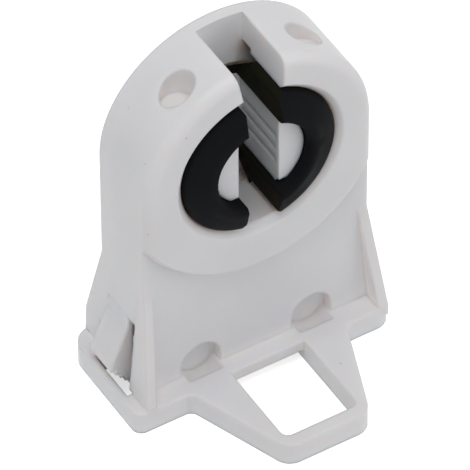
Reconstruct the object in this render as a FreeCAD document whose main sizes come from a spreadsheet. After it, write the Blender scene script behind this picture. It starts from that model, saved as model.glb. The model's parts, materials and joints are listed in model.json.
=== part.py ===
import FreeCAD, Part
import Sketcher
import math
import os
import re

# Push-through lamp holder for a tube with two G13 pins.
# +X is to the holder's right, +Y to its back and +Z up. The origin lies on the underside of the
# base flange, below the lamp axis. The lamp axis runs along Y at the height lamp_height.

doc = FreeCAD.newDocument("TubeLampHolder")

# Driving sizes in millimetres
SIZES = {
    # lamp pins of the G13 standard
    "pin_spacing": 12.7,
    "pin_diameter": 2.35,
    "pin_play": 0.075,
    # head: the round upper part with its raised front disc
    "lamp_height": 29.2,
    "head_radius": 12.9,
    "head_front": 5.25,
    "head_edge_round": 1.2,
    "disc_radius": 13.8,
    "disc_blend": 0.6,
    "rear_face": 3.9,
    "cover_thickness": 1.3,
    # lower body
    "wall_front": 4.15,
    "wall_thickness": 1.2,
    "flare_height": 15.6,
    "flare_width": 13.45,
    "back_slope_top": 16.0,
    "back_slope_foot": 5.9,
    # base flange and its front frame
    "flange_thickness": 2.7,
    "flange_left": 15.35,
    "flange_right": 14.65,
    "flange_reach": 6.65,
    "flange_left_corner": 1.1,
    "flange_right_corner": 1.9,
    "flange_back_corner": 2.3,
    "frame_reach": 18.0,
    "frame_root": 9.05,
    "frame_tip": 4.75,
    "frame_corner": 2.0,
    "frame_opening_width": 8.56,
    "frame_opening_front": 16.55,
    "frame_opening_back": 6.3,
    "frame_opening_corner": 0.9,
    "ledge_thickness": 1.35,
    "arm_root_round": 1.0,
    # tube slot in the head
    "slot_top": 2.7,
    "slot_rim_left": 1.85,
    "slot_rim_right": 2.6,
    # round pockets in the head's top
    "dimple_offset": 7.1,
    "dimple_place": 1.4,
    "dimple_radius": 1.8,
    "dimple_floor": 8.3,
    # rotor and its seat
    "rotor_radius": 8.6,
    "rotor_rim": 5.25,
    "rotor_nose": 6.2,
    "rotor_rim_bevel": 0.35,
    "rotor_play": 0.08,
    "rotor_slot": 3.2,
    "rotor_slot_mouth": 3.9,
    "rotor_slot_lead": 1.5,
    "rotor_back": 2.35,
    "ring_radius": 6.4,
    "ring_back": 3.15,
    "ring_play": 0.2,
    "collar_radius": 9.2,
    "collar_front": 1.05,
    "bore_bevel": 0.8,
    "core_gap": 0.2,
    "throat_bevel": 0.3,
    # core posts inside the rotor
    "post_gap": 4.6,
    "post_front": 4.6,
    "post_groove": 0.3,
    "post_groove_width": 0.8,
    "post_bevel": 0.5,
    # side latches
    "latch_front": 1.35,
    "latch_back": 2.5,
    "latch_inner": 12.55,
    "latch_neck": 0.65,
    "latch_reach": 15.2,
    "latch_root": 11.15,
    "latch_ramp_top": 9.7,
    "latch_shoulder": 5.0,
    "latch_tip": 1.6,
    "latch_tip_width": 0.5,
    "latch_steps": 4,
    "latch_slot_front": 3.0,
    "latch_slot_back": 3.9,
    "latch_slot_back_top": 6.3,
    "window_strip": 0.7,
    "window_front": 3.55,
    "window_back": 2.85,
    # ribs at the front corners and arched niches at the frame's roots
    "rib_foot": 6.5,
    "rib_foot_place": 14.1,
    "rib_thickness": 1.1,
    "niche_place": 6.45,
    "niche_radius": 2.3,
    "niche_top": 6.15,
    "niche_depth": 1.3,
    # terminal block
    "block_width": 14.8,
    "block_height": 16.0,
    "chamber_inner": 1.1,
    "chamber_outer": 6.8,
    "chamber_top": 14.5,
    "chamber_front": 2.2,
    "wire_hole": 1.05,
    "wire_place_inner": 2.5,
    "wire_place_outer": 4.9,
    # contacts
    "contact_thickness": 0.35,
    "contact_front": 1.9,
    "contact_back": 0.7,
    "leaf_gap": 0.3,
    "leaf_top": 32.3,
    "leaf_foot": 19.5,
    "channel_outer": 11.6,
    "channel_top": 33.2,
    "riser_place": 6.15,
    "bridge_height": 12.6,
    "tongue_lean": 0.8,
    "tongue_drop": 4.3,
    "tongue_half_width": 0.7,
}

sheet = doc.addObject("Spreadsheet::Sheet", "Sizes")
for row, (alias, value) in enumerate(SIZES.items(), start=1):
    sheet.set("A%d" % row, alias)
    sheet.set("B%d" % row, str(value))
    sheet.setAlias("B%d" % row, alias)
doc.recompute()


# Helpers that bind formulas in the sheet's words to the model

def link(formula):
    """Put the sheet's name before each size in a formula."""
    def named(match):
        word = match.group(0)
        return "Sizes." + word if word in SIZES else word
    return re.sub(r"[a-z_]+", named, str(formula))


def bind(thing, **formulas):
    for path, formula in formulas.items():
        thing.setExpression(path.replace("__", "."), link(formula))


def place(thing, x="0", y="0", z="0"):
    bind(thing, Placement__Base__x=x, Placement__Base__y=y, Placement__Base__z=z)


def box(name, x, y, z):
    """A box between two formulas along each axis."""
    thing = doc.addObject("Part::Box", name)
    spans = dict(Length=x, Width=y, Height=z)
    bind(thing, **{side: "(%s) - (%s)" % (high, low) for side, (low, high) in spans.items()})
    place(thing, x[0], y[0], z[0])
    return thing


def rod(name, radius, y, x="0", z="lamp_height"):
    """A cylinder along Y."""
    thing = doc.addObject("Part::Cylinder", name)
    bind(thing, Radius=radius, Height="(%s) - (%s)" % (y[1], y[0]))
    thing.Placement.Rotation = FreeCAD.Rotation(FreeCAD.Vector(1, 0, 0), -90)
    place(thing, x, y[0], z)
    return thing


def upright(name, radius, z, x, y):
    """A cylinder along Z."""
    thing = doc.addObject("Part::Cylinder", name)
    bind(thing, Radius=radius, Height="(%s) - (%s)" % (z[1], z[0]))
    place(thing, x, y, z[0])
    return thing


def fuse(name, things):
    result = doc.addObject("Part::MultiFuse", name)
    result.Shapes = things
    result.Refine = True
    return result


def cut(name, base, tools):
    result = doc.addObject("Part::Cut", name)
    result.Base = base
    result.Tool = tools[0] if len(tools) == 1 else fuse(name + "_tools", tools)
    return result


def common(name, things):
    result = doc.addObject("Part::MultiCommon", name)
    result.Shapes = things
    return result


def mirrored(thing, name):
    """The same form on the holder's other side."""
    result = doc.addObject("Part::Mirroring", name)
    result.Source = thing
    result.Normal = FreeCAD.Vector(1, 0, 0)
    return result


def draw(sketch, corners):
    """Draw a closed outline whose corners are pairs of formulas."""
    count = len(corners)
    turn = 2 * math.pi / count
    guess = [FreeCAD.Vector(math.cos(turn * i), math.sin(turn * i), 0) for i in range(count)]
    for i in range(count):
        sketch.addGeometry(Part.LineSegment(guess[i], guess[(i + 1) % count]))
    for i in range(count):
        sketch.addConstraint(Sketcher.Constraint("Coincident", i, 2, (i + 1) % count, 1))
    for i, corner in enumerate(corners):
        for kind, formula in zip(("DistanceX", "DistanceY"), corner):
            number = sketch.addConstraint(Sketcher.Constraint(kind, -1, 1, i, 1, 1.0))
            sketch.setExpression("Constraints[%d]" % number, link(formula))


TURNED = {
    "XY": FreeCAD.Rotation(),
    "XZ": FreeCAD.Rotation(FreeCAD.Vector(1, 0, 0), 90),
    "YZ": FreeCAD.Rotation(FreeCAD.Vector(0, 1, 0), FreeCAD.Vector(0, 0, 1), FreeCAD.Vector(1, 0, 0), "ZXY"),
}
OUTWARD = {"XY": FreeCAD.Vector(0, 0, 1), "XZ": FreeCAD.Vector(0, 1, 0), "YZ": FreeCAD.Vector(1, 0, 0)}
AXIS = {"XY": "z", "XZ": "y", "YZ": "x"}


def prism(name, plane, corners, span):
    """An outline drawn on a plane and drawn out between two formulas."""
    sketch = doc.addObject("Sketcher::SketchObject", name + "_outline")
    draw(sketch, corners)
    sketch.Placement.Rotation = TURNED[plane]
    place(sketch, **{AXIS[plane]: span[0]})
    thing = doc.addObject("Part::Extrusion", name)
    thing.Base = sketch
    thing.DirMode = "Custom"
    thing.Dir = OUTWARD[plane]
    thing.Solid = True
    bind(thing, LengthFwd="(%s) - (%s)" % (span[1], span[0]))
    return thing


def ring(name, corners):
    """A section of (radius, depth) pairs turned round the lamp axis."""
    sketch = doc.addObject("Sketcher::SketchObject", name + "_section")
    draw(sketch, corners)
    place(sketch, z="lamp_height")
    thing = doc.addObject("Part::Revolution", name)
    thing.Source = sketch
    thing.Axis = FreeCAD.Vector(0, 1, 0)
    thing.Angle = 360
    thing.Solid = True
    bind(thing, Base__z="lamp_height")
    return thing


def rounded(name, base, radius, wanted):
    """Round the edges of base for which wanted(bounds of the edge) is true."""
    doc.recompute()
    result = doc.addObject("Part::Fillet", name)
    result.Base = base
    size = SIZES[radius]
    edges = [i for i, edge in enumerate(base.Shape.Edges, start=1) if wanted(edge.BoundBox)]
    result.Edges = [(i, size, size) for i in edges]
    return result


def near(value, size):
    return abs(value - size) < 0.01


BORE_RADIUS = "(rotor_radius + rotor_play)"
CORE_RADIUS = "((pin_spacing - pin_diameter) / 2 - pin_play)"
THROAT_RADIUS = "(%s + core_gap)" % CORE_RADIUS
COVER_INNER = "(rear_face - cover_thickness)"
SLOPE_INNER = "(flange_reach - cover_thickness)"
BODY_INNER = "(head_radius - wall_thickness)"
WALL_INNER = "(wall_thickness - wall_front)"

# Housing: head with a rounded front edge and a raised disc

arch = rod("arch", "head_radius", ("-head_front", WALL_INNER))
shoulders = box("shoulders", ("-head_radius", "head_radius"), ("-head_front", WALL_INNER),
                ("lamp_height - disc_radius - 1", "lamp_height"))


def is_front_side(bounds):
    """Edges of the front face, apart from the straight one across its foot."""
    foot = SIZES["lamp_height"] - SIZES["disc_radius"] - 1
    in_front = near(bounds.YMin, -SIZES["head_front"]) and near(bounds.YMax, -SIZES["head_front"])
    return in_front and not near(bounds.ZMax, foot)


head_front_blank = rounded("head_front_blank", fuse("head_outline", [arch, shoulders]),
                           "head_edge_round", is_front_side)
disc = ring("disc", [
    ("0", "-head_front"),
    ("disc_radius", "-head_front"),
    ("disc_radius + disc_blend", "-wall_front"),
    ("disc_radius + disc_blend", WALL_INNER),
    ("0", WALL_INNER),
])
head_front = common("head_front_part", [head_front_blank, disc])
head_ring = rod("head_ring", "head_radius", ("-wall_front", COVER_INNER))

# Housing: lower body as a shell that is open below and behind

body_front_view = [
    ("-flare_width", "0"),
    ("flare_width", "0"),
    ("flare_width", "flange_thickness"),
    ("head_radius", "flare_height"),
    ("head_radius", "lamp_height"),
    ("-head_radius", "lamp_height"),
    ("-head_radius", "flare_height"),
    ("-flare_width", "flange_thickness"),
]
body_side_view = [
    ("-wall_front", "0"),
    (SLOPE_INNER, "0"),
    (SLOPE_INNER, "back_slope_foot"),
    (COVER_INNER, "back_slope_top"),
    (COVER_INNER, "lamp_height"),
    ("-wall_front", "lamp_height"),
]
body = common("body", [
    prism("body_front", "XZ", body_front_view, ("-flange_reach", "flange_reach")),
    prism("body_side", "YZ", body_side_view, ("-flare_width", "flare_width")),
])
cavity = box("cavity", ("-" + BODY_INNER, BODY_INNER), (WALL_INNER, "flange_reach"), ("-1", "lamp_height"))
shell = cut("shell", body, [cavity])

# Housing: flange with its front frame

flange = box("flange", ("-flange_left", "flange_right"), ("-flange_reach", "flange_reach"),
             ("0", "flange_thickness"))
flange_left_rounded = rounded("flange_left_rounded", flange, "flange_left_corner",
                              lambda b: b.ZLength > 1 and b.YMax < 0 and b.XMax < 0)
flange_front_rounded = rounded("flange_front_rounded", flange_left_rounded, "flange_right_corner",
                               lambda b: b.ZLength > 1 and b.YMax < 0 and near(b.XMin, SIZES["flange_right"]))
flange_plate = rounded("flange_plate", flange_front_rounded, "flange_back_corner",
                       lambda b: b.ZLength > 1 and near(b.YMin, SIZES["flange_reach"]))
frame_blank = prism("frame_blank", "XY", [
    ("-frame_root", "-flange_reach"),
    ("-frame_tip", "-frame_reach"),
    ("frame_tip", "-frame_reach"),
    ("frame_root", "-flange_reach"),
    ("frame_root", WALL_INNER),
    ("-frame_root", WALL_INNER),
], ("0", "flange_thickness"))
frame = rounded("frame", frame_blank, "frame_corner",
                lambda b: b.ZLength > 1 and near(b.YMax, -SIZES["frame_reach"]))
frame_opening = rounded(
    "frame_opening",
    box("frame_opening_blank", ("-frame_opening_width / 2", "frame_opening_width / 2"),
        ("-frame_opening_front", "-frame_opening_back"), ("-1", "flange_thickness + 1")),
    "frame_opening_corner",
    lambda b: b.ZLength > 1 and near(b.YMax, -SIZES["frame_opening_front"]))
ledge_relief = box("ledge_relief", ("-frame_opening_width / 2", "frame_opening_width / 2"),
                   ("-frame_opening_back - 1", "-wall_front"), ("-1", "flange_thickness - ledge_thickness"))
base_cavity = box("base_cavity", ("-" + BODY_INNER, BODY_INNER), (WALL_INNER, SLOPE_INNER),
                  ("-1", "flange_thickness + 1"))
base_blank = rounded(
    "base_blank", fuse("base_outline", [flange_plate, frame]), "arm_root_round",
    lambda b: near(b.ZLength, SIZES["flange_thickness"]) and near(b.YMin, -SIZES["flange_reach"])
    and near(abs(b.XMin), SIZES["frame_root"]))
base = cut("base", base_blank, [frame_opening, ledge_relief, base_cavity])

# Housing: terminal block with two chambers and four wire entries

block = box("block", ("-block_width / 2", "block_width / 2"), (WALL_INNER, COVER_INNER), ("0", "block_height"))
block_web = box("block_web", ("1 - riser_place", "riser_place - 1"), (WALL_INNER, COVER_INNER),
                ("block_height - 1", "lamp_height - (head_radius + rotor_radius) / 2"))
niche_back = box("niche_back", ("-(niche_place + niche_radius + wall_thickness)",
                                "niche_place + niche_radius + wall_thickness"),
                 (WALL_INNER, "niche_depth + wall_thickness - wall_front"), ("0", "niche_top + wall_thickness"))
chamber = box("chamber", ("chamber_inner", "chamber_outer"), ("-chamber_front", "flange_reach"),
              ("flange_thickness", "chamber_top"))
riser_slot = box("riser_slot", ("riser_place - contact_thickness", "block_width / 2 + 1"),
                 ("-chamber_front", "flange_reach"), ("chamber_top - 1", "block_height + 1"))
wire_entries = [upright("wire_entry_" + side, "wire_hole", ("-1", "flange_thickness + 1"),
                        "wire_place_" + side, "(contact_back - contact_front) / 2")
                for side in ("inner", "outer")]
right_chamber = fuse("right_chamber", [chamber, riser_slot] + wire_entries)
left_chamber = mirrored(right_chamber, "left_chamber")

# Housing: ribs at the front corners, leaning outwards with the flared sides

rib_side = prism("rib_side", "YZ", [
    (WALL_INNER, "flange_thickness / 2"),
    ("-rib_foot", "flange_thickness / 2"),
    ("-rib_foot", "flange_thickness"),
    ("-wall_front", "flare_height"),
    (WALL_INNER, "flare_height"),
], ("head_radius - rib_thickness - 1", "rib_foot_place + 1"))
rib_front = prism("rib_front", "XZ", [
    ("rib_foot_place - rib_thickness", "0"),
    ("rib_foot_place", "0"),
    ("rib_foot_place", "flange_thickness"),
    ("head_radius", "flare_height"),
    ("head_radius - rib_thickness", "flare_height"),
    ("rib_foot_place - rib_thickness", "flange_thickness"),
], ("-rib_foot - 1", "0"))
right_rib = common("right_rib", [rib_side, rib_front])

# Housing: everything cut away

slot = prism("slot", "XZ", [
    ("-slot_rim_left", "lamp_height"),
    ("slot_rim_right", "lamp_height"),
    ("slot_rim_right", "lamp_height + rotor_radius"),
    ("slot_top", "lamp_height + head_radius"),
    ("slot_top", "lamp_height + head_radius + 1"),
    ("-slot_top", "lamp_height + head_radius + 1"),
    ("-slot_top", "lamp_height + head_radius"),
    ("-slot_rim_left", "lamp_height + rotor_radius"),
], ("-head_front - 1", COVER_INNER + " + 1"))
bore = rod("bore", BORE_RADIUS, ("-head_front - 1", "flange_reach"))
bore_bevel = ring("bore_bevel_ring", [
    ("0", "-head_front - 1"),
    (BORE_RADIUS + " + bore_bevel + 1", "-head_front - 1"),
    (BORE_RADIUS, "-head_front + bore_bevel"),
    ("0", "-head_front + bore_bevel"),
])
collar_seat = rod("collar_seat", "collar_radius + 2 * rotor_play", ("collar_front - rotor_play", "flange_reach"))
dimples = [upright(side + "_dimple", "dimple_radius",
                   ("lamp_height + dimple_floor", "lamp_height + head_radius + 1"),
                   sign + "dimple_offset", "-dimple_place")
           for side, sign in (("left", "-"), ("right", ""))]
channel = box("channel", ("rotor_radius - contact_thickness", "channel_outer"), ("-chamber_front", "flange_reach"),
              ("block_height", "channel_top"))
niche_depth = ("-wall_front - 1", "niche_depth - wall_front")
niche = fuse("niche", [
    rod("niche_arch", "niche_radius", niche_depth, "niche_place", "niche_top - niche_radius"),
    box("niche_foot", ("niche_place - niche_radius", "niche_place + niche_radius"), niche_depth,
        ("flange_thickness", "niche_top - niche_radius")),
])


def side_window(side):
    """The slots round one latch and the window below it in the flange, made on the right."""
    inner = BODY_INNER + " - 0.1"
    edge = "flange_%s - window_strip" % side
    beyond = "rib_foot_place + 2"
    return fuse(side + "_window", [
        box(side + "_front_slot", (inner, beyond), ("-latch_slot_front", "latch_back"),
            ("flange_thickness", "latch_root")),
        box(side + "_back_slot", (inner, beyond), ("0", "latch_slot_back"),
            ("flange_thickness", "latch_slot_back_top")),
        box(side + "_flange_window", (inner, edge), ("-window_front", "window_back"),
            ("-1", "flange_thickness + 0.1")),
    ])


# Housing: a latch tongue whose foot steps back like a rack

steps = SIZES["latch_steps"]
reach = "(latch_reach - latch_inner - latch_tip_width)"
tongue_side = [
    (BODY_INNER, "latch_root + 1"),
    (BODY_INNER, "latch_root"),
    ("latch_inner", "latch_ramp_top"),
    ("latch_inner", "latch_tip"),
]
for step in range(steps + 1):
    outwards = "latch_inner + latch_tip_width + %s * %d / %d" % (reach, step, steps)
    for level in (step, step + 1):
        upwards = "latch_tip + (latch_shoulder - latch_tip) * %d / %d" % (level, steps + 1)
        tongue_side.append((outwards, upwards))
tongue_side += [
    ("latch_inner + latch_neck", "latch_ramp_top"),
    ("head_radius", "latch_root + 1"),
]
right_tongue = prism("right_tongue", "XZ", tongue_side, ("-latch_front", "latch_back"))

housing_blank = fuse("housing_blank", [
    head_front, head_ring, shell, base, block, niche_back, block_web, right_rib, mirrored(right_rib, "left_rib")])
housing_cut = cut("housing_cut", housing_blank, [
    bore, bore_bevel, collar_seat, slot, channel, mirrored(channel, "left_channel"),
    niche, mirrored(niche, "left_niche"), right_chamber, left_chamber,
    side_window("right"), mirrored(side_window("left"), "left_window_mirror")] + dimples)
housing = fuse("housing", [housing_cut, right_tongue, mirrored(right_tongue, "left_tongue")])

# Rear cover with a groove for the rotor's ring and the two core posts that stand inside the rotor

cover_side_view = [
    (COVER_INNER, "lamp_height + head_radius + 1"),
    (COVER_INNER, "back_slope_top"),
    (SLOPE_INNER, "back_slope_foot"),
    (SLOPE_INNER, "flange_thickness"),
    ("flange_reach", "flange_thickness"),
    ("flange_reach", "back_slope_foot"),
    ("rear_face", "back_slope_top"),
    ("rear_face", "lamp_height + head_radius + 1"),
]
cover_depth = ("-flange_reach", "flange_reach + 1")
cover_plate = common("cover_plate", [
    prism("cover_side", "YZ", cover_side_view, ("-flare_width - 1", "flare_width + 1")),
    fuse("cover_front", [
        prism("cover_lower", "XZ", body_front_view, cover_depth),
        rod("cover_arch", "head_radius", cover_depth),
    ]),
])
ring_groove = ring("ring_groove", [
    (CORE_RADIUS, COVER_INNER + " - 1"),
    ("ring_radius + ring_play", COVER_INNER + " - 1"),
    ("ring_radius + ring_play", "ring_back + ring_play"),
    (CORE_RADIUS, "ring_back + ring_play"),
])
post_rod = ring("post_rod", [
    ("0", "-post_front"),
    (CORE_RADIUS + " - post_bevel", "-post_front"),
    (CORE_RADIUS, "-post_front + post_bevel"),
    (CORE_RADIUS, COVER_INNER + " + 0.1"),
    ("0", COVER_INNER + " + 0.1"),
])
post_lead = prism("post_lead", "XY", [
    ("0", "-post_front - 1"),
    ("post_gap / 2 + post_bevel + 1", "-post_front - 1"),
    ("post_gap / 2", "-post_front + post_bevel"),
    ("0", "-post_front + post_bevel"),
], ("lamp_height - rotor_radius", "lamp_height + rotor_radius"))
post_depth = ("-post_front - 1", COVER_INNER)
groove_width = "post_groove_width * (%s)"
post_grooves = [box("post_groove_%d" % row, ("0", "post_gap / 2 + post_groove"), post_depth,
                    ("lamp_height + " + groove_width % (middle - 0.5),
                     "lamp_height + " + groove_width % (middle + 0.5)))
                for row, middle in enumerate((-2, 0, 2))]
post_slot = box("post_slot", ("0", "post_gap / 2"), post_depth,
                ("lamp_height - rotor_radius", "lamp_height + rotor_radius"))
post_space = fuse("post_space", [post_slot, post_lead] + post_grooves)
posts = cut("posts", post_rod, [post_space, mirrored(post_space, "left_post_space")])
rear_cover = fuse("rear_cover", [cut("grooved_plate", cover_plate, [ring_groove]), posts])


# Rotor: a drum with a slot across it, whose two halves are joined by a ring behind

def body_sketch(owner, name, plane, corners, offset):
    """A sketch on one of a body's own origin planes, moved off it by a formula."""
    sketch = owner.newObject("Sketcher::SketchObject", name)
    origin_plane = [thing for thing in owner.Origin.OriginFeatures if thing.Role == plane + "_Plane"][0]
    sketch.AttachmentSupport = [(origin_plane, "")]
    sketch.MapMode = "FlatFace"
    bind(sketch, AttachmentOffset__Base__z=offset)
    draw(sketch, corners)
    return sketch


rotor = doc.addObject("PartDesign::Body", "rotor")
drum_section = body_sketch(rotor, "drum_section", "XY", [
    (THROAT_RADIUS + " + throat_bevel", "-rotor_nose"),
    ("rotor_radius - rotor_rim_bevel", "-rotor_rim"),
    ("rotor_radius", "-rotor_rim + rotor_rim_bevel"),
    ("rotor_radius", "collar_front"),
    ("collar_radius", "collar_front"),
    ("collar_radius", "rotor_back"),
    ("ring_radius", "rotor_back"),
    ("ring_radius", "ring_back"),
    (THROAT_RADIUS, "ring_back"),
    (THROAT_RADIUS, "-rotor_nose + throat_bevel"),
], "lamp_height")
drum = rotor.newObject("PartDesign::Revolution", "drum")
drum.Profile = drum_section
drum.ReferenceAxis = (drum_section, ["V_Axis"])
drum.Angle = 360
doc.recompute()
pin_slot_outline = body_sketch(rotor, "pin_slot_outline", "XY", [
    ("-rotor_slot_mouth / 2", "-rotor_nose - 0.01"),
    ("rotor_slot_mouth / 2", "-rotor_nose - 0.01"),
    ("rotor_slot / 2", "-rotor_nose + rotor_slot_lead"),
    ("rotor_slot / 2", "rotor_back"),
    ("-rotor_slot / 2", "rotor_back"),
    ("-rotor_slot / 2", "-rotor_nose + rotor_slot_lead"),
], "lamp_height + collar_radius + 1")
pin_slot = rotor.newObject("PartDesign::Pocket", "pin_slot")
pin_slot.Profile = pin_slot_outline
bind(pin_slot, Length="2 * (collar_radius + 1)")
rotor.Tip = pin_slot

# Contacts: bent strips of spring bronze, each with a leaf beside the rotor and two wire tongues

LEAF_INNER = "(rotor_radius + leaf_gap)"
contact_bend = [
    (LEAF_INNER, "leaf_top"),
    (LEAF_INNER, "leaf_foot"),
    ("riser_place", "block_height"),
    ("riser_place", "bridge_height + contact_thickness"),
    ("chamber_inner + leaf_gap", "bridge_height + contact_thickness"),
    ("chamber_inner + leaf_gap", "bridge_height"),
    ("riser_place + contact_thickness", "bridge_height"),
    ("riser_place + contact_thickness", "block_height - contact_thickness / 2"),
    (LEAF_INNER + " + contact_thickness", "leaf_foot - contact_thickness / 2"),
    (LEAF_INNER + " + contact_thickness", "leaf_top"),
]


def contact(name, sign):
    """One contact; sign is '' on the right and '-' on the left."""
    def side(corners):
        return [("%s(%s)" % (sign, x), z) for x, z in corners]

    owner = doc.addObject("PartDesign::Body", name)
    strip = owner.newObject("PartDesign::Pad", name + "_strip")
    strip.Profile = body_sketch(owner, name + "_bend", "XZ", side(contact_bend), "-contact_back")
    bind(strip, Length="contact_front + contact_back")
    for row in ("inner", "outer"):
        wire = "wire_place_" + row
        corners = [
            (wire + " + tongue_lean", "bridge_height + contact_thickness / 2"),
            (wire, "bridge_height - tongue_drop"),
            (wire + " + contact_thickness", "bridge_height - tongue_drop"),
            (wire + " + tongue_lean + contact_thickness", "bridge_height + contact_thickness / 2"),
        ]
        middle = "(contact_back - contact_front) / 2"
        outline = body_sketch(owner, "%s_%s_lean" % (name, row), "XZ", side(corners),
                              "-(%s + tongue_half_width)" % middle)
        tongue = owner.newObject("PartDesign::Pad", "%s_%s_tongue" % (name, row))
        tongue.Profile = outline
        bind(tongue, Length="2 * tongue_half_width")
        owner.Tip = tongue
    return owner


# Check and write each piece
PIECES = {
    "housing": housing,
    "rear_cover": rear_cover,
    "rotor": rotor,
    "contact_right": contact("contact_right", ""),
    "contact_left": contact("contact_left", "-"),
}
doc.recompute()
for thing in doc.Objects:
    if "Invalid" in thing.State or "Error" in thing.State:
        raise RuntimeError("%s is %s" % (thing.Name, thing.State))
for label, thing in PIECES.items():
    thing.Label = label
    shape = thing.Shape
    if shape.isNull() or not shape.isValid() or len(shape.Solids) != 1:
        raise RuntimeError("%s has %d solids, valid %s" % (label, len(shape.Solids), shape.isValid()))

os.makedirs("parts", exist_ok=True)
for label, thing in PIECES.items():
    thing.Shape.exportStep("parts/%s.step" % label)
    print(label, round(thing.Shape.Volume, 2), "mm3", len(thing.Shape.Faces), "faces")
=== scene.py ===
"""Looks of a push-through lamp holder for a fluorescent tube: mouldings, rotor and a plain stage."""
import json
import math

import bpy
from bpy.props import FloatProperty, FloatVectorProperty, PointerProperty
from mathutils import Matrix, Vector

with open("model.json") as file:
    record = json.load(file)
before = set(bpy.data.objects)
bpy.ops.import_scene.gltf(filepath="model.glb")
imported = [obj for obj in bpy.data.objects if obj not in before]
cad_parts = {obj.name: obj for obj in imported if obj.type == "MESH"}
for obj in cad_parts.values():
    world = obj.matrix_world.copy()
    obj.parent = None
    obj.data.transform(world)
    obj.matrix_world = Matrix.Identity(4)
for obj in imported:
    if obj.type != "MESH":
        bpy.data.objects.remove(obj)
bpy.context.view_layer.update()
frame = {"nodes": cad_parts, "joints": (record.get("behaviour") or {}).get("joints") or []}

bl_info = {
    "name": "Tube Lamp Holder",
    "version": (1, 0, 0),
    "blender": (4, 5, 0),
    "location": "View3D > Sidebar > Lamp Holder",
    "description": "Dresses a push-through lamp holder and sets its stage",
    "category": "Object",
}

LAMP_HEIGHT = frame["joints"][0]["pos_m"][2]


# Settings

def colour(name, description, default):
    return FloatVectorProperty(name=name, description=description, subtype="COLOR", size=3, min=0, max=1,
                               default=default)


def length(name, description, default):
    return FloatProperty(name=name, description=description, subtype="DISTANCE", unit="LENGTH", min=0,
                         precision=5, default=default)


def place(name, description, default):
    return FloatVectorProperty(name=name, description=description, subtype="TRANSLATION", unit="LENGTH",
                               size=3, precision=5, default=default)


def share(name, description, default):
    return FloatProperty(name=name, description=description, subtype="FACTOR", min=0, max=1, default=default)


class MouldingSettings(bpy.types.PropertyGroup):
    """Finish of the moulded pieces"""
    white: colour("White", "Colour of the housing and the cover", (0.74, 0.738, 0.755))
    # Painted light: recesses are painted paler, standing in for light that spreads inside the plastic
    painted_recess_light: colour("Recesses", "Colour that light inside the plastic gives the recesses",
                       (0.93, 0.895, 0.88))
    # Painted shade: a warm brown stands in for the shade and warm reflections deep in the bore and the slot;
    # the four distances below set its ring round the lamp axis
    painted_bore_shade: colour("Bore tint", "Warm tint deep in the bore and the slot", (0.60, 0.43, 0.34))
    bore_start: length("Bore tint start", "Distance from the lamp axis where the warm tint sets in", 0.0070)
    bore_full: length("Bore tint full", "Distance from which the warm tint is full", 0.0084)
    bore_fade: length("Bore tint fade", "Distance up to which the warm tint is full", 0.0088)
    bore_end: length("Bore tint end", "Distance where the warm tint is gone", 0.0105)
    speck: colour("Specks", "Colour of the specks", (0.30, 0.29, 0.28))
    speck_share: share("Speck share", "Share of the specks' own colour", 0.35)
    # Painted shade: the core posts, deep inside the rotor, are painted greyer than the white; the two
    # distances below say where they lie
    posts: colour("Core posts", "Colour of the posts inside the rotor", (0.53, 0.55, 0.56))
    post_radius: length("Post radius", "Distance from the lamp axis within which the posts lie", 0.0054)
    post_blend: length("Post blend", "Distance in which the posts' colour turns white", 0.0002)
    cap_radius: length("Post cap radius", "Radius of the closed front ends of the posts", 0.00513)
    cap_front: length("Post cap front", "How far the post ends stand before the middle plane", 0.00475)
    cap_back: length("Post cap back", "How far before the middle plane the grooves begin", 0.0040)
    cap_gap: length("Post cap gap", "Way between the two post ends", 0.0046)
    cap_height: length("Post cap height", "Height of the post ends, whose tips are blunt", 0.0080)
    edge_round: length("Edge rounding", "Radius of the moulded edges", 0.00045)
    seam_top: length("Seam depth", "Depth of the seam between housing and cover, above its bend", 0.0026)
    seam_foot: length("Seam foot", "Depth of the seam where its slope ends", 0.00535)
    seam_bend: length("Seam bend", "Height of the seam's bend", 0.016)
    seam_slope: length("Seam slope", "Height that the seam's slope takes up", 0.0101)
    seam_near: length("Seam near", "Distance from the seam up to which no light spreads", 0.0003)
    seam_far: length("Seam far", "Distance from the seam beyond which light spreads in full", 0.0016)
    # Both the painted recess light and the painted bore shade look this far for a wall
    recess_reach: length("Recess reach", "How far the recess tint looks for a wall", 0.003)
    depth: length("Translucency", "How far light spreads inside the plastic", 0.0016)
    translucency: share("Translucency share", "Share of light that spreads inside the plastic", 0.7)
    gloss: share("Roughness", "Roughness of the moulded faces", 0.42)
    ripple: length("Ripple", "Height of the moulding's slight waviness", 0.00003)


class RotorSettings(bpy.types.PropertyGroup):
    """Finish of the rotor"""
    black: colour("Black", "Colour of the rotor", (0.008, 0.0084, 0.0096))
    # Painted shade: a warm olive on the rotor's inner faces stands in for the shade inside its slot
    painted_side_shade: colour("Olive", "Tint of the rotor's inner faces", (0.012, 0.0115, 0.007))
    edge_round: length("Edge rounding", "Radius of the rotor's edges", 0.0004)
    taper_radius: length("Taper radius", "Radius where the rotor's tapered back begins", 0.00865)
    taper_start: length("Taper start", "Where the taper begins before the middle plane", 0.0002)
    taper_slope: FloatProperty(name="Taper slope", min=0, default=0.875,
                               description="Radius that the taper loses along its length")
    slot: length("Slot", "Width of the slot across the rotor", 0.0036)
    slot_floor: length("Slot floor", "Depth of the slot behind the middle plane", 0.00234)
    mouth_corner: length("Mouth corner", "Side of the square that blunts each mouth corner", 0.0013)
    gloss: share("Roughness", "Roughness of the rotor", 0.5)
    shine: share("Shine", "Strength of the rotor's reflections", 0.025)


class ContactSettings(bpy.types.PropertyGroup):
    """Finish of the contacts"""
    bronze: colour("Bronze", "Colour of the contact strips", (0.72, 0.50, 0.30))
    gloss: share("Roughness", "Roughness of the strips", 0.3)


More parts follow.
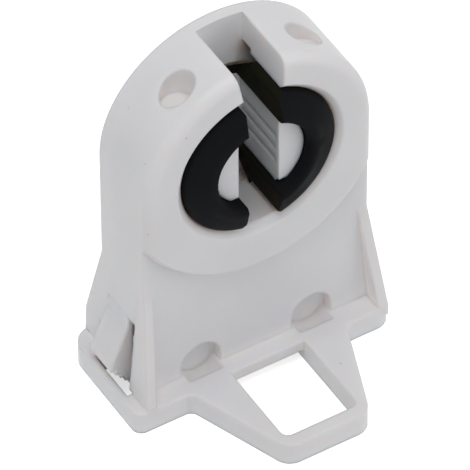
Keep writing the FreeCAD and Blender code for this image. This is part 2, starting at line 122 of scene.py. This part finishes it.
class StageSettings(bpy.types.PropertyGroup):
    """Floor, light and camera"""
    azimuth: FloatProperty(name="Azimuth", description="Direction of the camera round the holder",
                           subtype="ANGLE", default=math.radians(-31.069))
    elevation: FloatProperty(name="Elevation", description="Height of the camera above the horizon",
                             subtype="ANGLE", default=math.radians(45.656))
    roll: FloatProperty(name="Roll", description="Turn of the camera about its line of sight",
                        subtype="ANGLE", default=math.radians(-0.41))
    distance: length("Distance", "From the camera to the point that it looks at", 0.70915)
    lens: FloatProperty(name="Lens", description="Focal length in millimetres", min=1, default=551.11)
    sensor: FloatProperty(name="Sensor", description="Sensor width in millimetres", min=1, default=36)
    nearest: length("Nearest", "Distance from the camera where the picture begins", 0.01)
    target: place("Target", "Middle of the holder as the photo shows it", (0, -0.001418, 0.019021))
    shift_left: length("Shift left", "From the target to the picture's middle, leftwards", 0.0006276)
    shift_down: length("Shift down", "From the target to the picture's middle, downwards", 0.0022365)
    key_power: FloatProperty(name="Key light", description="Power of the light above on the left",
                             unit="POWER", default=0.2)
    key_place: place("Key place", "Where the key light hangs", (-0.05, -0.06, 0.30))
    key_size: length("Key size", "Diameter of the key light", 0.16)
    fill_power: FloatProperty(name="Fill light", description="Power of the light on the right",
                              unit="POWER", default=0.08)
    fill_place: place("Fill place", "Where the fill light hangs", (0.20, -0.22, 0.14))
    fill_size: length("Fill size", "Diameter of the fill light", 0.20)
    lit_point: place("Lit point", "Point that both lights look at", (0, 0, 0.02))
    surround: FloatProperty(name="Surround", description="Strength of the light from all round",
                            min=0, default=0.6)
    floor_glow: FloatProperty(name="Floor brightness", description="What the floor adds to its colour",
                              min=0, default=0.6)
    floor_colour: colour("Floor colour", "Colour of the floor", (0.86, 0.86, 0.86))
    floor_size: length("Floor size", "Side of the floor", 1.6)
    floor_gap: length("Floor gap", "How far the floor lies below the holder", 0.00002)


# Materials

class Maker:
    """Builds one material's node tree."""

    def __init__(self, name):
        self.material = bpy.data.materials.new(name)
        self.material.use_nodes = True
        self.tree = self.material.node_tree
        self.shader = self.tree.nodes["Principled BSDF"]
        self.place = self.node("ShaderNodeTexCoord").outputs["Object"]

    def node(self, kind, inputs=None, **settings):
        made = self.tree.nodes.new(kind)
        for key, value in settings.items():
            setattr(made, key, value)
        for key, value in (inputs or {}).items():
            self.feed(made.inputs[key], value)
        return made

    def feed(self, socket, value):
        if isinstance(value, bpy.types.NodeSocket):
            self.tree.links.new(value, socket)
        elif hasattr(socket.default_value, "__len__") and len(socket.default_value) == 4:
            socket.default_value = (*value[:3], 1)
        else:
            socket.default_value = value

    def noise(self, scale, detail=2.0, rough=0.5):
        return self.node("ShaderNodeTexNoise", {"Vector": self.place, "Scale": scale, "Detail": detail,
                                                "Roughness": rough}).outputs["Fac"]

    def ramp(self, value, low, high, out_low=0.0, out_high=1.0):
        return self.node("ShaderNodeMapRange", {"Value": value, "From Min": low, "From Max": high,
                                                "To Min": out_low, "To Max": out_high}).outputs["Result"]

    def mix(self, share_, first, second):
        made = self.node("ShaderNodeMix", data_type="RGBA")
        for index, value in ((0, share_), (6, first), (7, second)):
            self.feed(made.inputs[index], value)
        return made.outputs[2]

    def math(self, kind, first, second=0.0):
        return self.node("ShaderNodeMath", {0: first, 1: second}, operation=kind).outputs[0]

    def along_axis(self):
        """How far a face looks along the lamp axis, either way, from 0 to 1."""
        normal = self.node("ShaderNodeNewGeometry").outputs["Normal"]
        return self.math("ABSOLUTE", self.node("ShaderNodeSeparateXYZ", {0: normal}).outputs["Y"])

    def set(self, **values):
        for key, value in values.items():
            self.feed(self.shader.inputs[key.replace("_", " ")], value)

    def surface(self, heights, edge_round):
        """Moulded relief: heights are pairs of (value, distance), on edges rounded by edge_round."""
        normal = self.node("ShaderNodeBevel", {"Radius": edge_round}, samples=10).outputs[0]
        for value, distance in heights:
            normal = self.node("ShaderNodeBump", {"Height": value, "Distance": distance,
                                                  "Normal": normal}).outputs[0]
        self.set(Normal=normal)


def off_the_seam(m, settings, near, far):
    """0 near the seam between housing and cover, which the photo doesn't show, and 1 from far on."""
    axes = m.node("ShaderNodeSeparateXYZ", {0: m.place}).outputs
    seam = m.ramp(axes["Z"], settings.seam_bend - settings.seam_slope, settings.seam_bend,
                  settings.seam_foot, settings.seam_top)
    apart = m.math("ABSOLUTE", m.math("SUBTRACT", axes["Y"], seam))
    return m.ramp(apart, near, far)


def white_colour(m, settings):
    """White, with painted shade greyer on the core posts' sides, painted light paler in recesses and a
    painted warm shade round the bore.
    """
    axis = m.node("ShaderNodeVectorMath", {0: m.place, 1: (0, 0, LAMP_HEIGHT)}, operation="SUBTRACT")
    across = m.node("ShaderNodeVectorMath", {0: axis.outputs[0], 1: (1, 0, 1)}, operation="MULTIPLY")
    from_axis = m.node("ShaderNodeVectorMath", {0: across.outputs[0]}, operation="LENGTH").outputs["Value"]
    on_housing = m.ramp(from_axis, settings.post_radius, settings.post_radius + settings.post_blend)
    # Painted shade: on the posts, faces that don't look along the lamp axis take the grey, while their front
    # ends stay white
    pale = m.math("MAXIMUM", on_housing, m.ramp(m.along_axis(), 0.4, 0.9))
    base = m.mix(pale, settings.posts, settings.white)
    mottle = m.ramp(m.noise(90), 0.35, 0.65, 0.98, 1.015)
    tone = m.node("ShaderNodeHueSaturation", {"Color": base, "Value": mottle}).outputs[0]
    walls = m.node("ShaderNodeAmbientOcclusion", {"Distance": settings.recess_reach}, samples=8)
    hollow = walls.outputs["AO"]
    # Painted light: where walls stand near, the colour turns to the paler recess colour
    recess = m.math("MULTIPLY", on_housing, m.ramp(hollow, 0.8, 0.3, 0.0, 0.9))
    lit = m.mix(recess, tone, settings.painted_recess_light)
    # Painted shade: the warm brown falls on faces near the bore's radius that walls close round
    round_bore = m.math("MULTIPLY", m.ramp(from_axis, settings.bore_end, settings.bore_fade),
                        m.ramp(from_axis, settings.bore_start, settings.bore_full))
    bore_shade_share = m.math("MULTIPLY", round_bore, m.ramp(hollow, 0.7, 0.2, 0.0, 0.9))
    return m.mix(bore_shade_share, lit, settings.painted_bore_shade)


def specks(m):
    """1 on a few small specks that lie in patches."""
    cells = m.node("ShaderNodeTexVoronoi", {"Vector": m.place, "Scale": 420.0})
    return m.math("MULTIPLY", m.ramp(cells.outputs["Distance"], 0.05, 0.09, 1, 0),
                  m.ramp(m.noise(55, 1), 0.60, 0.64))


def moulded_white(name, settings):
    """Slightly translucent white plastic with a waxy face, fine waviness and a few dark specks."""
    m = Maker(name)
    fine = m.noise(2600, 3, 0.6)
    speckled = m.math("MULTIPLY", specks(m), settings.speck_share)
    spread = off_the_seam(m, settings, settings.seam_near, settings.seam_far)
    m.set(Base_Color=m.mix(speckled, white_colour(m, settings), settings.speck),
          Roughness=m.ramp(fine, 0.3, 0.7, settings.gloss - 0.05, settings.gloss + 0.07),
          Subsurface_Weight=m.math("MULTIPLY", spread, settings.translucency),
          Subsurface_Radius=(1.0, 0.72, 0.55), Subsurface_Scale=settings.depth, IOR=1.49)
    rounded = off_the_seam(m, settings, settings.edge_round, settings.edge_round * 1.5)
    m.surface(((m.noise(210, 2), settings.ripple * 4), (fine, settings.ripple * 0.25)),
              m.math("MULTIPLY", rounded, settings.edge_round))
    return m.material


def moulded_black(name, settings):
    """Satin black plastic with fine scuffs."""
    m = Maker(name)
    fine = m.noise(3000, 3, 0.65)
    broad = m.noise(240, 2)
    # Painted shade: faces that don't look along the lamp axis, the slot walls among them, take the olive
    inner = m.ramp(m.along_axis(), 0.3, 0.1)
    m.set(Base_Color=m.mix(inner, settings.black, settings.painted_side_shade),
          Roughness=m.ramp(broad, 0.3, 0.7, settings.gloss - 0.06, settings.gloss + 0.1),
          Specular_IOR_Level=settings.shine)
    m.surface(((broad, 0.00005), (fine, 0.000008)), settings.edge_round)
    return m.material


def spring_bronze(name, settings):
    """Rolled bronze strip with a faint grain along its length."""
    m = Maker(name)
    along = m.node("ShaderNodeMapping", {"Vector": m.place, "Scale": (6.0, 1.0, 0.15)}).outputs[0]
    grain = m.node("ShaderNodeTexNoise", {"Vector": along, "Scale": 900.0, "Detail": 3.0}).outputs["Fac"]
    tone = m.mix(m.ramp(grain, 0.35, 0.65), settings.bronze, [c * 0.82 for c in settings.bronze])
    m.set(Base_Color=tone, Metallic=1.0,
          Roughness=m.ramp(grain, 0.3, 0.7, settings.gloss - 0.06, settings.gloss + 0.12))
    m.surface(((grain, 0.000004),), 0.00006)
    return m.material


# Forms that the photo shows and the solids lack

LOOSE_CORNERS = 0.000001  # a CAD mesh's corners nearer than this are one corner
CUT_SLIVERS = 0.000004  # corners nearer than this after a cut are one corner
CONE_SIDES = 160
BEYOND = 0.001  # how far a cutting block reaches past what it cuts
TALLER_THAN_ROTOR = 0.024
WIDER_THAN_POSTS = 0.012
BEFORE_ROTOR = -0.007  # along Y, in front of the rotor's nose
BEHIND_ROTOR = 0.0033  # along Y, behind the rotor's ring


class Shaper:
    """Builds a Geometry Nodes modifier that gives a CAD node a finer form."""

    def __init__(self, name):
        self.tree = bpy.data.node_groups.new(name, "GeometryNodeTree")
        for way in ("INPUT", "OUTPUT"):
            self.tree.interface.new_socket("Geometry", in_out=way, socket_type="NodeSocketGeometry")
        start = self.tree.nodes.new("NodeGroupInput").outputs[0]
        self.form = self.node("GeometryNodeMergeByDistance", {0: start, "Distance": LOOSE_CORNERS})

    def node(self, kind, inputs, **settings):
        made = self.tree.nodes.new(kind)
        for key, value in settings.items():
            setattr(made, key, value)
        for key, value in inputs.items():
            if isinstance(value, bpy.types.NodeSocket):
                self.tree.links.new(value, made.inputs[key])
            else:
                made.inputs[key].default_value = value
        return made.outputs[0]

    def cone(self, front, back, front_radius, back_radius):
        """A turned form round the lamp axis between two depths."""
        upright = self.node("GeometryNodeMeshCone", {
            "Vertices": CONE_SIDES, "Radius Top": back_radius, "Radius Bottom": front_radius,
            "Depth": back - front})
        return self.node("GeometryNodeTransform", {
            "Geometry": upright, "Translation": (0, front, LAMP_HEIGHT), "Rotation": (-math.pi / 2, 0, 0)})

    def block(self, width, front, back, height=TALLER_THAN_ROTOR, x=0.0, z=0.0, turn=0.0):
        """A block whose middle lies x beside and z above the lamp axis, turned about Y."""
        cube = self.node("GeometryNodeMeshCube", {"Size": (width, back - front, height)})
        return self.node("GeometryNodeTransform", {"Geometry": cube, "Rotation": (0, turn, 0),
                                                   "Translation": (x, (front + back) / 2, LAMP_HEIGHT + z)})

    def cut(self, first, second):
        return self.node("GeometryNodeMeshBoolean", {0: first, 1: second}, operation="DIFFERENCE",
                         solver="EXACT")

    def combine(self, operation, first, second):
        made = self.tree.nodes.new("GeometryNodeMeshBoolean")
        made.operation = operation
        made.solver = "EXACT"
        for part in (first, second):
            self.tree.links.new(part, made.inputs[1])
        return made.outputs[0]

    def finish(self, thing, form, material):
        joined = self.node("GeometryNodeMergeByDistance", {0: form, "Distance": CUT_SLIVERS})
        dressed = self.node("GeometryNodeSetMaterial", {"Geometry": joined, "Material": material})
        end = self.tree.nodes.new("NodeGroupOutput")
        self.tree.links.new(dressed, end.inputs[0])
        thing.modifiers.new(self.tree.name, "NODES").node_group = self.tree


def tapered_rotor(thing, material, settings):
    """The drum's back tapers to its ring, and its slot is as wide as the photo shows it."""
    shape = Shaper("Tapered back")
    front, back = BEFORE_ROTOR, BEHIND_ROTOR
    radii = [settings.taper_radius - settings.taper_slope * (y + settings.taper_start)
             for y in (front, back)]
    drum = shape.combine("INTERSECT", shape.form, shape.cone(front, back, *radii))
    drum = shape.cut(drum, shape.block(settings.slot, front, settings.slot_floor))
    side = settings.mouth_corner
    reach = math.sqrt(settings.taper_radius ** 2 - settings.slot ** 2 / 4)
    for x in (-settings.slot / 2, settings.slot / 2):
        for z in (-reach, reach):
            drum = shape.cut(drum, shape.block(side, front, 0.0, side, x, z, math.pi / 4))
    shape.finish(thing, drum, material)


def capped_posts(thing, material, settings):
    """Closed front ends on the core posts, before their grooves."""
    shape = Shaper("Post ends")
    front, back = -settings.cap_front, -settings.cap_back
    ends = shape.cut(shape.cone(front, back, settings.cap_radius, settings.cap_radius),
                     shape.block(settings.cap_gap, front - BEYOND, back + BEYOND))
    blunt = shape.block(WIDER_THAN_POSTS, front - BEYOND, back + BEYOND, settings.cap_height)
    ends = shape.combine("INTERSECT", ends, blunt)
    shape.finish(thing, shape.combine("UNION", shape.form, ends), material)


def dress(node, material):
    """Give a CAD node its finish."""
    thing = frame["nodes"][node]
    thing.data.materials.clear()
    thing.data.materials.append(material)
    return thing


# Operators

class LAMPHOLDER_OT_housing(bpy.types.Operator):
    """Finish the white housing"""
    bl_idname = "lampholder.housing"
    bl_label = "Housing"

    def execute(self, context):
        settings = context.scene.lampholder_moulding
        dress("housing", moulded_white("White moulding", settings))
        return {"FINISHED"}


class LAMPHOLDER_OT_rear_cover(bpy.types.Operator):
    """Finish the rear cover with its core posts"""
    bl_idname = "lampholder.rear_cover"
    bl_label = "Rear cover"

    def execute(self, context):
        settings = context.scene.lampholder_moulding
        pale = moulded_white("Pale moulding", settings)
        capped_posts(dress("rear_cover", pale), pale, settings)
        return {"FINISHED"}


class LAMPHOLDER_OT_rotor(bpy.types.Operator):
    """Finish the black rotor"""
    bl_idname = "lampholder.rotor"
    bl_label = "Rotor"

    def execute(self, context):
        settings = context.scene.lampholder_rotor
        black = moulded_black("Black moulding", settings)
        tapered_rotor(dress("rotor", black), black, settings)
        return {"FINISHED"}


class LAMPHOLDER_OT_contacts(bpy.types.Operator):
    """Finish the two spring contacts"""
    bl_idname = "lampholder.contacts"
    bl_label = "Contacts"

    def execute(self, context):
        bronze = spring_bronze("Spring bronze", context.scene.lampholder_contact)
        for side in ("left", "right"):
            dress("contact_" + side, bronze)
        return {"FINISHED"}


class LAMPHOLDER_OT_stage(bpy.types.Operator):
    """Set the floor, the light and the camera"""
    bl_idname = "lampholder.stage"
    bl_label = "Stage"

    def execute(self, context):
        settings = context.scene.lampholder_stage
        self.floor(context, settings)
        self.light(context, settings)
        self.camera(context, settings)
        context.scene.view_settings.view_transform = "Standard"
        return {"FINISHED"}

    def seen_rays(self, tree):
        """1 for rays that show the background itself, from the camera or in a reflection."""
        path = tree.nodes.new("ShaderNodeLightPath")
        total = path.outputs["Is Camera Ray"]
        for name in ("Is Glossy Ray", "Is Transmission Ray"):
            add = tree.nodes.new("ShaderNodeMath")
            add.operation = "MAXIMUM"
            tree.links.new(total, add.inputs[0])
            tree.links.new(path.outputs[name], add.inputs[1])
            total = add.outputs[0]
        return total

    def floor(self, context, settings):
        half = settings.floor_size / 2
        mesh = bpy.data.meshes.new("floor")
        corners = [(x * half, y * half, -settings.floor_gap) for x, y in ((-1, -1), (1, -1), (1, 1), (-1, 1))]
        mesh.from_pydata(corners, [], [(0, 1, 2, 3)])
        thing = bpy.data.objects.new("floor", mesh)
        context.scene.collection.objects.link(thing)
        material = bpy.data.materials.new("Pale floor")
        material.use_nodes = True
        tree = material.node_tree
        shader = tree.nodes["Principled BSDF"]
        shader.inputs["Base Color"].default_value = (*settings.floor_colour, 1)
        shader.inputs["Roughness"].default_value = 1
        shader.inputs["Specular IOR Level"].default_value = 0
        shader.inputs["Emission Color"].default_value = (1, 1, 1, 1)
        glow = tree.nodes.new("ShaderNodeMath")
        glow.operation = "MULTIPLY"
        glow.inputs[1].default_value = settings.floor_glow
        tree.links.new(self.seen_rays(tree), glow.inputs[0])
        tree.links.new(glow.outputs[0], shader.inputs["Emission Strength"])
        mesh.materials.append(material)

    def light(self, context, settings):
        world = bpy.data.worlds.new("Studio")
        world.use_nodes = True
        tree = world.node_tree
        background = tree.nodes["Background"]
        background.inputs["Color"].default_value = (1, 1, 1, 1)
        strength = tree.nodes.new("ShaderNodeMapRange")
        strength.inputs["To Min"].default_value = settings.surround
        strength.inputs["To Max"].default_value = 1.0
        tree.links.new(self.seen_rays(tree), strength.inputs["Value"])
        tree.links.new(strength.outputs[0], background.inputs["Strength"])
        context.scene.world = world
        for name, power, spot, size in (
                ("Key light", settings.key_power, settings.key_place, settings.key_size),
                ("Fill light", settings.fill_power, settings.fill_place, settings.fill_size)):
            lamp = bpy.data.lights.new(name, "AREA")
            lamp.shape = "DISK"
            lamp.size = size
            lamp.energy = power
            thing = bpy.data.objects.new(name, lamp)
            thing.location = spot
            aim = settings.lit_point - spot
            thing.rotation_euler = aim.to_track_quat("-Z", "Y").to_euler()
            context.scene.collection.objects.link(thing)

    def camera(self, context, settings):
        azimuth, elevation, roll = settings.azimuth, settings.elevation, settings.roll
        back = Vector((math.sin(azimuth) * math.cos(elevation), -math.cos(azimuth) * math.cos(elevation),
                       math.sin(elevation)))
        level = Vector((math.cos(azimuth), math.sin(azimuth), 0))
        rise = back.cross(level)
        right = math.cos(roll) * level + math.sin(roll) * rise
        up = math.cos(roll) * rise - math.sin(roll) * level
        middle = settings.target - settings.shift_left * right - settings.shift_down * up
        lens = bpy.data.cameras.new("Photo camera")
        lens.sensor_width = settings.sensor
        lens.lens = settings.lens
        lens.clip_start = settings.nearest
        thing = bpy.data.objects.new("Photo camera", lens)
        turned = Matrix((right, up, back)).transposed().to_4x4()
        thing.matrix_world = Matrix.Translation(middle + back * settings.distance) @ turned
        context.scene.collection.objects.link(thing)
        context.scene.camera = thing


class LAMPHOLDER_PT_panel(bpy.types.Panel):
    """Steps that dress the lamp holder"""
    bl_idname = "LAMPHOLDER_PT_panel"
    bl_label = "Lamp Holder"
    bl_space_type = "VIEW_3D"
    bl_region_type = "UI"
    bl_category = "Lamp Holder"

    def draw(self, context):
        for step in STEPS:
            self.layout.operator(step.bl_idname)


STEPS = (LAMPHOLDER_OT_housing, LAMPHOLDER_OT_rear_cover, LAMPHOLDER_OT_rotor, LAMPHOLDER_OT_contacts,
         LAMPHOLDER_OT_stage)
SETTINGS = {
    "lampholder_moulding": MouldingSettings,
    "lampholder_rotor": RotorSettings,
    "lampholder_contact": ContactSettings,
    "lampholder_stage": StageSettings,
}


def register():
    for kind in (*SETTINGS.values(), *STEPS, LAMPHOLDER_PT_panel):
        bpy.utils.register_class(kind)
    for name, kind in SETTINGS.items():
        setattr(bpy.types.Scene, name, PointerProperty(type=kind))


def unregister():
    for name in SETTINGS:
        delattr(bpy.types.Scene, name)
    for kind in reversed((*SETTINGS.values(), *STEPS, LAMPHOLDER_PT_panel)):
        bpy.utils.unregister_class(kind)


def main():
    register()
    for step in STEPS:
        group, name = step.bl_idname.split(".")
        getattr(getattr(bpy.ops, group), name)()


if __name__ == "__main__":
    main()
